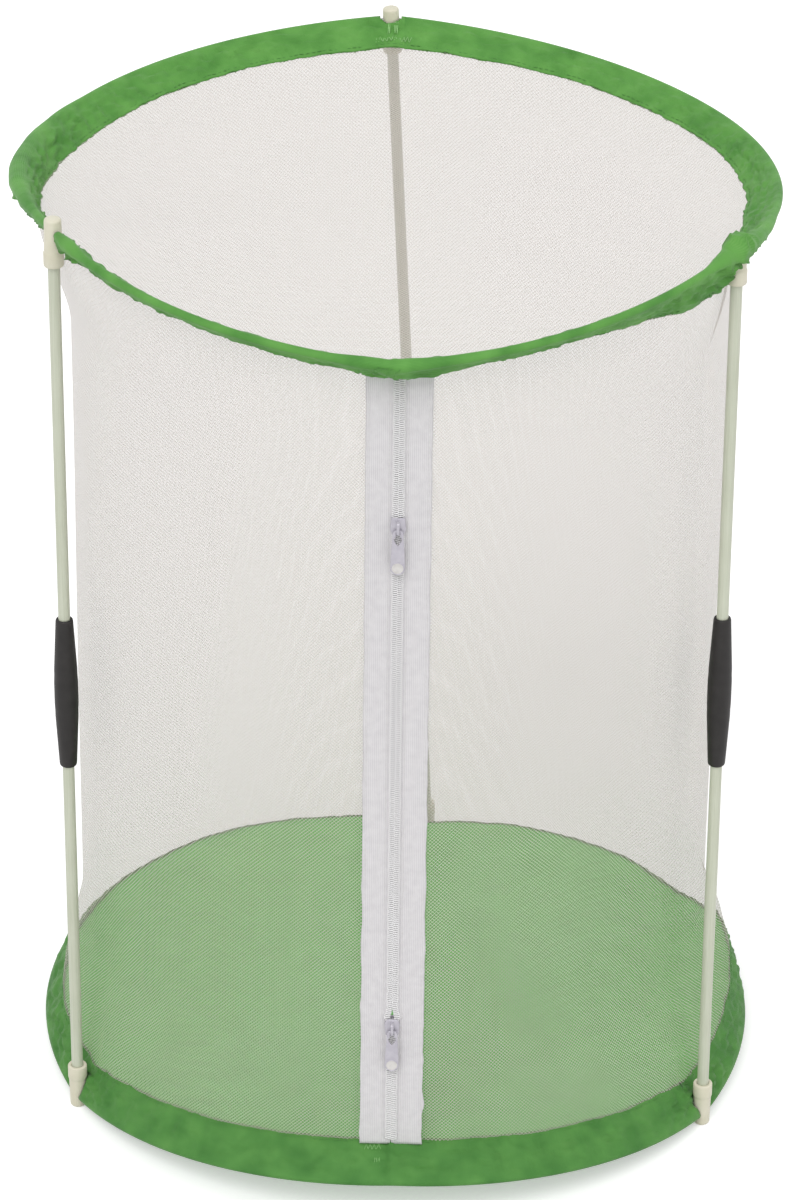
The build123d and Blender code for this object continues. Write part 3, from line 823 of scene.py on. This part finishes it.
def makeCoil(hand):
    shape = coilShape
    bm = bmesh.new()
    pitch = (shape["high"] - shape["low"]) / (shape["turns"] * 2 ** shape["doublings"])
    bmesh.ops.create_circle(bm, cap_ends=False, radius=shape["wire"], segments=shape["wireSides"],
                            matrix=Matrix.Translation((1, 0, 0)) @ Matrix.Rotation(pi / 2, 4, "X"))
    bmesh.ops.scale(bm, vec=(1 / shape["halfWidth"], 1, 1), verts=bm.verts, space=Matrix.Translation((-1, 0, 0)))
    sweep(bm, shape["turns"] * tau, shape["turns"] * shape["stepsPerTurn"], pitch / shape["stepsPerTurn"])
    doubled(bm, shape["doublings"], 0.0, (0, 0, shape["turns"] * pitch))
    stretch(bm, (shape["halfWidth"], shape["halfDepth"], 1))
    start = shape["low"] + (0 if hand > 0 else pitch / 2)
    move(bm, (shape["centre"], -shape["depth"], start))
    for vert in bm.verts:
        vert.co.x += partedBy(vert.co.z)
    stretch(bm, (hand * mm, mm, mm))
    faceOut(bm)
    side = sideOf[hand]
    return newPiece(f"coil_{side}", bm, "zipper_coil", replaced=f"zipper_coil_{side}")


# Sewing: short stitches, each laid from one spot to the next. One stitch is copied along a row,
# and then every copy is turned, stretched and moved into its place.
def stitchRun(runs, radius, share):
    places = []
    for spots in runs:
        for start, end in zip(spots, spots[1:]):
            run = end - start
            turn = Vector((0, 0, 1)).rotation_difference(run).to_matrix().to_4x4()
            shape = Matrix.Diagonal((radius, radius, run.length * share / 2, 1))
            places.append(Matrix.Scale(mm, 4) @ Matrix.Translation((start + end) / 2) @ turn @ shape)
    bm = bmesh.new()
    bmesh.ops.create_uvsphere(bm, u_segments=6, v_segments=4, radius=1)
    spacing = 4
    doubled(bm, (len(places) - 1).bit_length(), 0.0, (spacing, 0, 0))
    spare = []
    for vert in bm.verts:
        index = round(vert.co.x / spacing)
        if index < len(places):
            vert.co = places[index] @ (vert.co - Vector((spacing * index, 0, 0)))
        else:
            spare.append(vert)
    bmesh.ops.delete(bm, geom=spare, context="VERTS")
    return bm


sewing = {"pitch": 2.9, "radius": 0.2, "share": 0.78, "fromSeam": 0.4, "seamRadius": 158, "end": 179.9,
          "proud": 0.05, "tapePitch": 2.6, "tapeRadius": 0.15, "tapeShare": 0.72, "tapeRows": (0.28, 0.9),
          "tapeEnd": 4, "tapeProud": 0.22}


def sewSeam(level, face):
    count = round(tau * sewing["seamRadius"] / sewing["pitch"])
    spots = []
    for i in range(count + 1):
        azimuth = sewing["end"] * (2 * i / count - 1)
        inset, rise, _ = seamAt(level, azimuth)
        reach = hypot(inset, rise)
        share = 1 - (reach - sewing["fromSeam"]) / (reach + casingCloth["hem"])
        spot, out = plySpot(level, azimuth, share * plyShare, face)
        spots.append(spot + out * sewing["proud"])
    side = "outer" if face > 0 else "inner"
    bm = stitchRun([spots], sewing["radius"], sewing["share"])
    return newPiece(f"{level}_seam_{side}", bm, "greenThread")


def sewTape(hand):
    low, pitch = zipper["low"] + sewing["tapeEnd"], sewing["tapePitch"]
    count = round((zipper["high"] - sewing["tapeEnd"] - low) / pitch)
    runs = [[tapePoint(hand, across, low + i * pitch) - Vector((0, sewing["tapeProud"], 0))
             for i in range(count + 1)] for across in sewing["tapeRows"]]
    bm = stitchRun(runs, sewing["tapeRadius"], sewing["tapeShare"])
    return newPiece(f"tape_stitches_{sideOf[hand]}", bm, "whiteThread")


# Hand stitches where the casings' ends were closed, and loose thread ends at the front.
# Rows are (from azimuth, to azimuth, stitches, low and high share of the ply); ends (azimuth, reach, drop).
handSewing = {
    "proud": 0.3,
    "back": {"level": "top", "radius": 0.24, "share": 0.92,
             "rows": ((178.6, 181.9, 9, 0.16, 0.34), (181.9, 185.2, 9, 0.16, 0.36),
                      (181.1, 181.8, 4, 0.36, 0.86), (182.4, 182.8, 3, 0.36, 0.8))},
    "front": {"level": "bottom", "radius": 0.168, "share": 0.9,
              "rows": ((-4.6, -2.0, 8, 0.16, 0.3), (-2.9, -2.0, 4, 0.3, 0.72))},
}
looseThreads = {"radius": 0.17, "share": 1.1, "root": 0.53, "parts": 5, "forward": -1.5, "sagging": 1.6,
                "bend": (0.4, 1.2), "ends": ((-1.2, 7.0, -1.0), (-1.8, 9.5, -2.6), (-0.6, 4.0, -4.2),
                                             (0.4, 3.0, -3.4), (-2.4, 5.5, -3.6))}


def zigzag(level, start, end, count, low, high):
    spots = []
    for i in range(count + 1):
        share = low if i % 2 else high
        spot, out = plySpot(level, start + (end - start) * i / count, plyShare * share, 1)
        spots.append(spot + out * handSewing["proud"])
    return spots


def sewClosure(name):
    closure = handSewing[name]
    runs = [zigzag(closure["level"], *row) for row in closure["rows"]]
    bm = stitchRun(runs, closure["radius"], closure["share"])
    newPiece(f"{name}_closure_stitches", bm, "paleGreenThread")


def hangThreads():
    threads = looseThreads
    runs = []
    for azimuth, reach, drop in threads["ends"]:
        root = casingPoint("top", azimuth, threads["root"])
        spots = [root]
        for i in range(1, threads["parts"] + 1):
            share = i / threads["parts"]
            bend = noiseAt(azimuth * 3, share * 2, 1.0)
            forward = threads["forward"] * share + bend * threads["bend"][0]
            down = drop * share ** threads["sagging"] + bend * threads["bend"][1]
            spots.append(root + Vector((-reach * share, forward, down)))
        runs.append(spots)
    bm = stitchRun(runs, threads["radius"], threads["share"])
    newPiece("loose_thread_ends", bm, "greenThread")


tapes = [makeTape(hand) for hand in sideOf]
for hand in sideOf:
    sewTape(hand)
for level in ("bottom", "top"):
    for face in (1, -1):
        sewSeam(level, face)
for hand in sideOf:
    makeCoil(hand)
for name in ("back", "front"):
    sewClosure(name)
hangThreads()
print("zipper made")


# Turned pieces: a profile of (radius, height) spun round a rod's axis
def turnedPiece(profile, origin, direction):
    bm = rowOf([(radius, 0, height) for radius, height in profile])
    sweep(bm, tau, 48, merge=True)
    bmesh.ops.remove_doubles(bm, verts=bm.verts, dist=1e-4)
    turn = Vector((0, 0, 1)).rotation_difference(direction).to_matrix().to_4x4()
    bmesh.ops.transform(bm, matrix=Matrix.Scale(mm, 4) @ Matrix.Translation(origin) @ turn, verts=bm.verts)
    faceOut(bm)
    return bm


socketShape = {"length": 23.0, "foot": 6.0, "footTrim": 0.14, "radius": 4.2, "footRadius": 3.9,
               "collar": 4.6, "collarLength": 7.0, "bore": 2.85, "boreFloor": 2.6}
couplerShape = {"half": 39.0, "endRadius": 4.1, "middleRadius": 5.6, "land": 7.0, "bore": 2.85, "wall": 3.2,
                "taperFrom": 9.0, "taperLength": 28.8, "taperParts": (0.12, 0.4, 0.7, 1.0),
                "centres": {"left": 230.5, "right": 240.5, "back": 238.0}}


# From the rounded foot up to the collar's mouth and down the blind bore
def socketProfile(foot):
    shape = socketShape
    footRadius, radius, collar, bore = (shape[key] for key in ("footRadius", "radius", "collar", "bore"))
    mouth = shape["length"] - shape["foot"]
    step = mouth - shape["collarLength"]
    return [(0, -foot), (footRadius - 1.2, -foot), (footRadius - 0.5, -foot + 0.25),
            (footRadius - 0.1, -foot + 0.75), (footRadius, -foot + 1.4),
            (radius, step - 1.2), (radius + 0.05, step - 0.4), (collar - 0.1, step + 0.1),
            (collar, step + 0.5), (collar, mouth - 0.6), (collar - 0.2, mouth - 0.15),
            (collar - 0.6, mouth), (bore + 0.25, mouth), (bore, mouth - 0.3),
            (bore, shape["boreFloor"]), (0, shape["boreFloor"])]


# The middle land, the straight taper and the rounded mouth, mirrored about the middle
def couplerProfile():
    shape = couplerShape
    middle, end, half, bore = (shape[key] for key in ("middleRadius", "endRadius", "half", "bore"))
    upper = [(middle, 0), (middle, shape["land"] - 1.5), (middle - 0.05, shape["land"]),
             (middle - 0.16, shape["land"] + 2.0)]
    upper += [(end + (middle - end) * (1 - share), shape["taperFrom"] + shape["taperLength"] * share)
              for share in shape["taperParts"]]
    upper += [(end - 0.2, half - 0.4), (end - 0.6, half), (bore + 0.2, half), (bore, half - 0.3),
              (bore, shape["wall"]), (0, shape["wall"])]
    lower = [(radius, -height) for radius, height in upper]
    return lower[::-1] + upper[1:]


def fitRod(side):
    low, high = rodAxis(side)
    up = (high - low).normalized()
    middle = low.lerp(high, (couplerShape["centres"][side] - low.z) / (high.z - low.z))
    foot = socketShape["foot"]
    for name, node, profile, spot, way in (
            ("low_ferrule", "bottom_socket", socketProfile(foot - socketShape["footTrim"]), low, up),
            ("high_ferrule", "top_socket", socketProfile(foot), high, -up),
            ("coupler", "rod_coupler", couplerProfile(), middle, up)):
        node = f"{side}_{node}"
        newPiece(f"{side}_{name}", turnedPiece(profile, spot, way), slotOf[node], replaced=node)


for side in sides:
    fitRod(side)
print("rod fittings made")

# Sliders: two crowned plates, side flanges, a post, a bridge, and a pull on its crossbar
sliderShape = {"length": 8.4, "nose": 7.0, "tail": 6.0, "shoulder": 0.35, "noseTaper": 0.72, "plate": 1.1,
               "corner": 0.6, "outerRim": 0.32, "innerRim": 0.25, "back": -157.1, "front": -160.6,
               "outer": -161.7, "flange": -159.3, "flangeRim": 0.12, "channel": 2.5, "overlap": 0.02,
               "postWidth": 0.4, "postLow": 2.0, "bridgeWidth": 1.3, "bridgeRim": 0.16,
               "heights": {"upper": 364.3, "lower": 102.3}}
# Upper halves of the bridge's outside and of its eye, as (depth, height)
bridgeHalf = [(0.2, 3.1), (-1.9, 3.1), (-2.7, 2.8), (-2.95, 2.0)]
eyeHalf = [(0.2, 2.4), (-1.5, 2.4), (-2.05, 2.2), (-2.2, 1.7)]
pullShape = {"length": 21.5, "disc": 3.3, "top": 2.45, "thickness": 1.0, "edge": 0.22, "bar": 0.5, "barInset": 0.7,
             "dish": 2.55, "bead": 0.28, "beadOut": 0.3, "drop": 1.6, "rise": 1.1,
             "faceInset": 0.7, "faceDepth": -0.12, "faceRise": 0.14}


def pulledOut(bm, thickness):
    grown = bmesh.ops.extrude_face_region(bm, geom=list(bm.faces))["geom"]
    verts = [part for part in grown if isinstance(part, bmesh.types.BMVert)]
    bmesh.ops.translate(bm, vec=(0, -thickness, 0), verts=verts)
    faceOut(bm)


def roundEdges(bm, edges, radius):
    bmesh.ops.bevel(bm, geom=edges, offset=radius, affect="EDGES", segments=3, profile=0.5, material=-1)


def sharpEdges(bm):
    return [edge for edge in bm.edges if edge.calc_face_angle(0) > 1.0]


def slab(outline, front, thickness, corner=0.0, rim=0.0):
    bm = bmesh.new()
    bm.faces.new([bm.verts.new((x, front + thickness, z)) for x, z in outline])
    if corner:
        bmesh.ops.bevel(bm, geom=list(bm.verts), offset=corner, affect="VERTICES", segments=4, profile=0.5,
                        material=-1)
    pulledOut(bm, thickness)
    if rim:
        roundEdges(bm, sharpEdges(bm), rim)
    return bm


def joined(*parts):
    whole = bmesh.new()
    for part in parts:
        carrier = bpy.data.meshes.new("carrier")
        part.to_mesh(carrier)
        part.free()
        whole.from_mesh(carrier)
        bpy.data.meshes.remove(carrier)
    return whole


def makeBridge():
    width = sliderShape["bridgeWidth"]
    arch = [(depth, -height) for depth, height in bridgeHalf] + bridgeHalf[::-1]
    arch += eyeHalf + [(depth, -height) for depth, height in reversed(eyeHalf)]
    bridge = slab(arch, -width / 2, width, rim=sliderShape["bridgeRim"])
    rotate(bridge, pi / 2, "Z")
    move(bridge, (0, sliderShape["outer"], 0))
    return bridge


def makeSliderBody(level):
    shape = sliderShape
    half, nose, tail = shape["length"] / 2, shape["nose"] / 2, shape["tail"] / 2
    shoulder, channel = half * shape["shoulder"], shape["channel"]
    right = [(tail, -half), (nose - 0.12, 0.2), (nose, shoulder), (nose * shape["noseTaper"], half)]
    outline = right + [(-x, z) for x, z in reversed(right)]
    parts = [slab(outline, shape["outer"], shape["plate"], shape["corner"], shape["outerRim"]),
             slab(outline, shape["back"] - shape["plate"], shape["plate"], shape["corner"], shape["innerRim"])]
    inside, depth = shape["front"] - shape["overlap"], shape["flange"] - shape["front"]
    for hand in (1, -1):
        strip = [(hand * x, z) for x, z in ((channel, -half + 0.3), (tail - 0.05, -half + 0.3),
                                            (nose - 0.1, shoulder), (channel, half - 0.5))]
        parts.append(slab(strip, inside, depth, rim=shape["flangeRim"]))
    side, low, high = shape["postWidth"] / 2, shape["postLow"], half - 0.2
    parts.append(slab([(-side, low), (side, low), (side, high), (-side, high)], inside,
                      shape["back"] - shape["plate"] - shape["front"] + 2 * shape["overlap"]))
    whole = joined(*parts, makeBridge())
    if level == "upper":
        rotate(whole, pi, "Y")
    move(whole, (0, 0, shape["heights"][level]))
    stretch(whole, (mm, mm, mm))
    return newPiece(f"{level}_zip_slider", whole, "slider_metal", body=f"{level}_slider",
                    replaced=f"{level}_slider_body")


# The pull's window: a slot that clears the bridge, opening into a heart. Its right half, top to tip.
heartHalf = [(0.9, -0.6), (0.95, -3.2), (1.35, -3.05), (1.7, -3.35), (1.75, -4.1), (1.4, -5.1), (0.7, -6.3)]
heartWindow = [(-0.9, -0.6)] + heartHalf + [(0, -7.2)] + [(-x, z) for x, z in reversed(heartHalf[1:])]


def makePullPlate(centre):
    shape = pullShape
    top, disc = shape["top"], shape["disc"]
    rim = [(disc * cos(radians(angle)), centre + disc * sin(radians(angle))) for angle in range(0, -181, -12)]
    outline = [(-top, -1.2), (-top + 0.5, 0.1), (-1.4, 0.5), (1.4, 0.5), (top - 0.5, 0.1), (top, -1.2)] + rim
    bm = bmesh.new()
    edges = []
    for loop in (outline, heartWindow):
        verts = [bm.verts.new((x, shape["thickness"] / 2, z)) for x, z in loop]
        edges += [bm.edges.new(pair) for pair in zip(verts, verts[1:] + verts[:1])]
    bmesh.ops.triangle_fill(bm, use_beauty=True, use_dissolve=False, edges=edges)
    pulledOut(bm, shape["thickness"])
    roundEdges(bm, [edge for edge in sharpEdges(bm) if abs(edge.verts[0].co.y - edge.verts[1].co.y) < 0.1],
               shape["edge"])
    return bm


# The raised bead round the disc
def makeBead(centre):
    shape = pullShape
    ring = bmesh.new()
    across = Matrix.Translation((shape["dish"] + shape["beadOut"], 0, 0)) @ Matrix.Rotation(pi / 2, 4, "X")
    bmesh.ops.create_circle(ring, radius=shape["bead"], segments=10, cap_ends=False, matrix=across)
    sweep(ring, tau, 40, merge=True)
    rotate(ring, pi / 2, "X")
    move(ring, (0, -shape["thickness"] / 2, centre))
    faceOut(ring)
    return ring


def makeCrossbar():
    bar = bmesh.new()
    bmesh.ops.create_cone(bar, cap_ends=True, segments=20, radius1=pullShape["bar"], radius2=pullShape["bar"],
                          depth=2 * (pullShape["top"] - pullShape["barInset"]),
                          matrix=Matrix.Rotation(pi / 2, 4, "Y"))
    return bar


# The pale face inside the bead
def makePullFace(centre):
    shape = pullShape
    disc = bmesh.new()
    bmesh.ops.create_circle(disc, cap_ends=True, radius=shape["dish"] + 0.1, segments=40)
    bmesh.ops.inset_region(disc, faces=list(disc.faces), thickness=shape["faceInset"], depth=shape["faceDepth"])
    rotate(disc, pi / 2, "X")
    move(disc, (0, -shape["thickness"] / 2 - shape["faceRise"], centre))
    return disc


def makePull(level):
    shape = pullShape
    centre = shape["disc"] - shape["length"]
    spot = (0, sliderShape["outer"] - shape["rise"], sliderShape["heights"][level] - shape["drop"])
    body = f"{level}_pull"
    whole = joined(makePullPlate(centre), makeBead(centre), makeCrossbar())
    face = makePullFace(centre)
    for bm in (whole, face):
        move(bm, spot)
        stretch(bm, (mm, mm, mm))
    newPiece(f"{level}_zip_pull", whole, "slider_metal", body=body, replaced=f"{level}_slider_pull")
    newPiece(f"{level}_pull_face", face, "paleLacquer", body)


for level in ("upper", "lower"):
    makeSliderBody(level)
    makePull(level)
print("sliders made")
